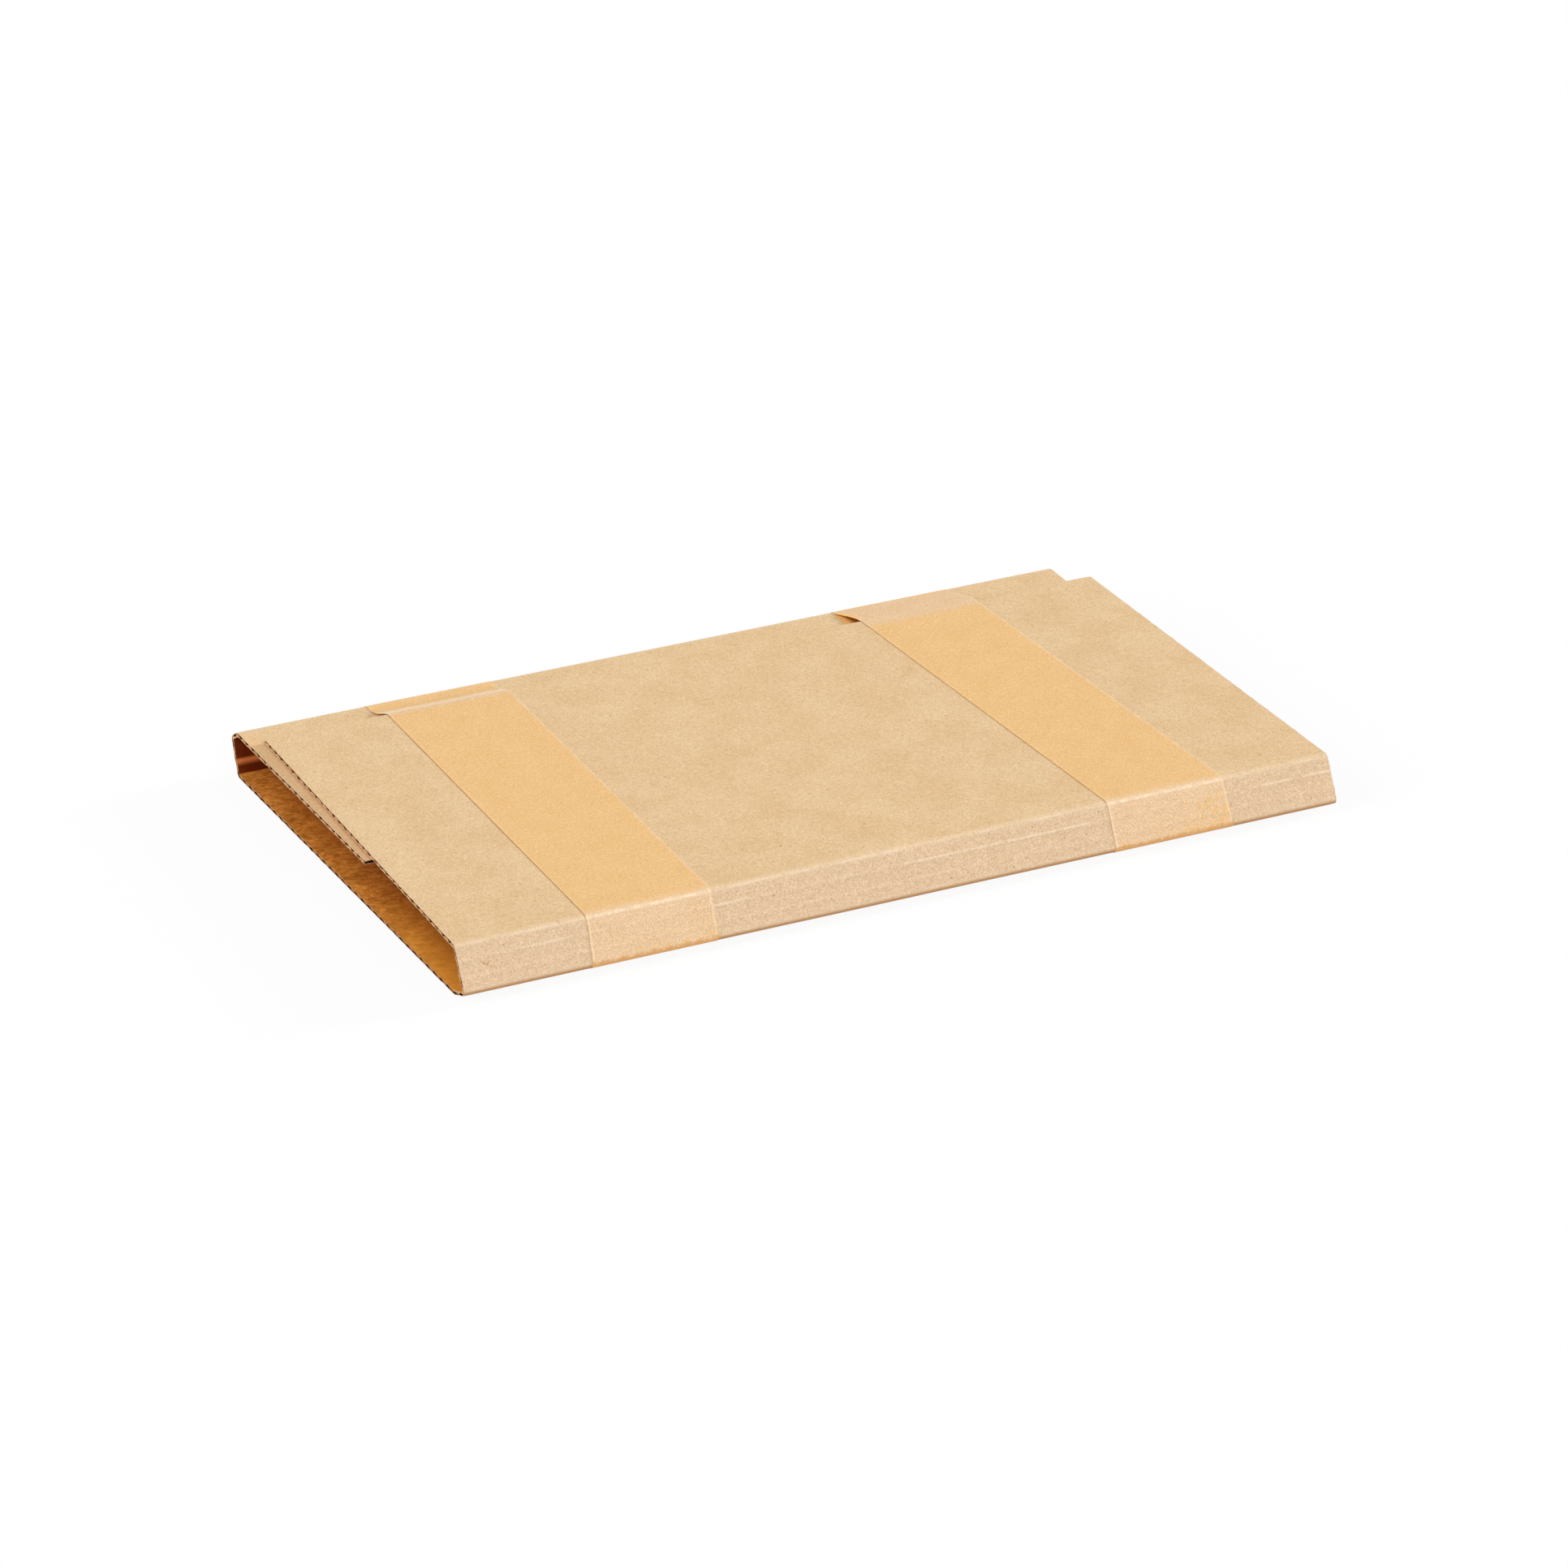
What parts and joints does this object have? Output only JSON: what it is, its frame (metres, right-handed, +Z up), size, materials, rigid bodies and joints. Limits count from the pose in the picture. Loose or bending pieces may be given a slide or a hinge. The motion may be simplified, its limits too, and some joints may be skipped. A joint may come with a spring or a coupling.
{
  "type": "book wrap mailer",
  "caption": "Flat corrugated board book wrap, folded round an open-ended cavity, with lapped top flaps held shut by bands of kraft paper tape.",
  "frame": {"origin": "middle of the wrap's footprint, on the surface that it lies on", "axes": "+X along the flutes towards the right open end, +Y from the front wall to the back wall, +Z up through the lapped flaps"},
  "size_m": [0.361, 0.2182, 0.0217],
  "materials": {
    "kraft_board": "matte kraft liner",
    "kraft_tape": "smooth kraft paper tape, slight sheen"
  },
  "bodies": {
    "root": {"wrap_board": "kraft_board", "tape_band_left": "kraft_tape", "tape_band_right": "kraft_tape"}
  },
  "joints": []
}
